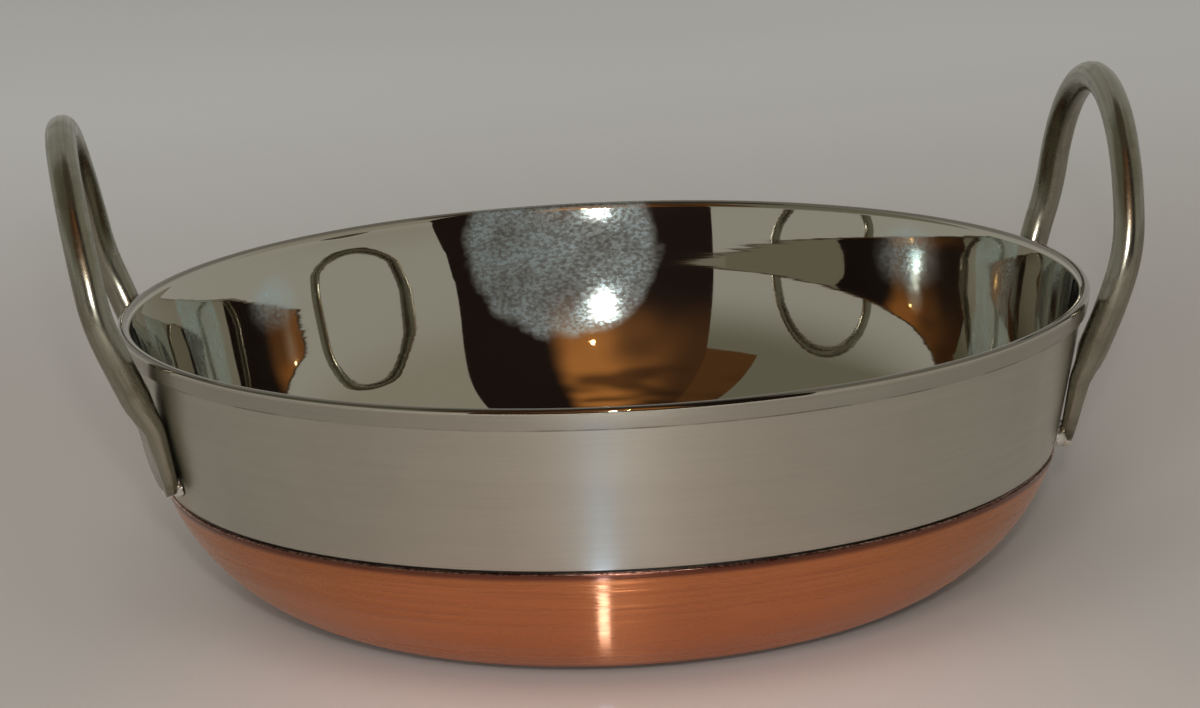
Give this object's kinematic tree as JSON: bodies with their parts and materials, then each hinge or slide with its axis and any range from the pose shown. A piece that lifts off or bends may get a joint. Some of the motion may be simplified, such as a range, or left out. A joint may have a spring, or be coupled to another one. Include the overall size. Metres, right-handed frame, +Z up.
{
  "type": "frying pan",
  "caption": "Small round-bottomed frying pan of the karahi kind: a steel bowl with a folded hem, a copper base cup and a loop of steel wire welded to each side.",
  "frame": {"origin": "centre of the flat base, where it meets the table", "axes": "+X towards the right handle, +Z up, +Y away from the viewer"},
  "size_m": [0.1316, 0.12, 0.063],
  "materials": {
    "bowl_steel": "stainless steel, satin with fine rings round the outside, mirror-polished inside",
    "copper": "bare copper, brushed round",
    "wire_steel": "polished stainless wire, drawn lengthwise",
    "weld_steel": "bare weld metal, slightly rippled"
  },
  "bodies": {
    "root": {"bowl_shell": "bowl_steel", "copper_base": "copper", "handle_right": "wire_steel", "handle_left": "wire_steel", "weld_right_front": "weld_steel", "weld_right_back": "weld_steel", "weld_left_front": "weld_steel", "weld_left_back": "weld_steel"}
  },
  "joints": []
}
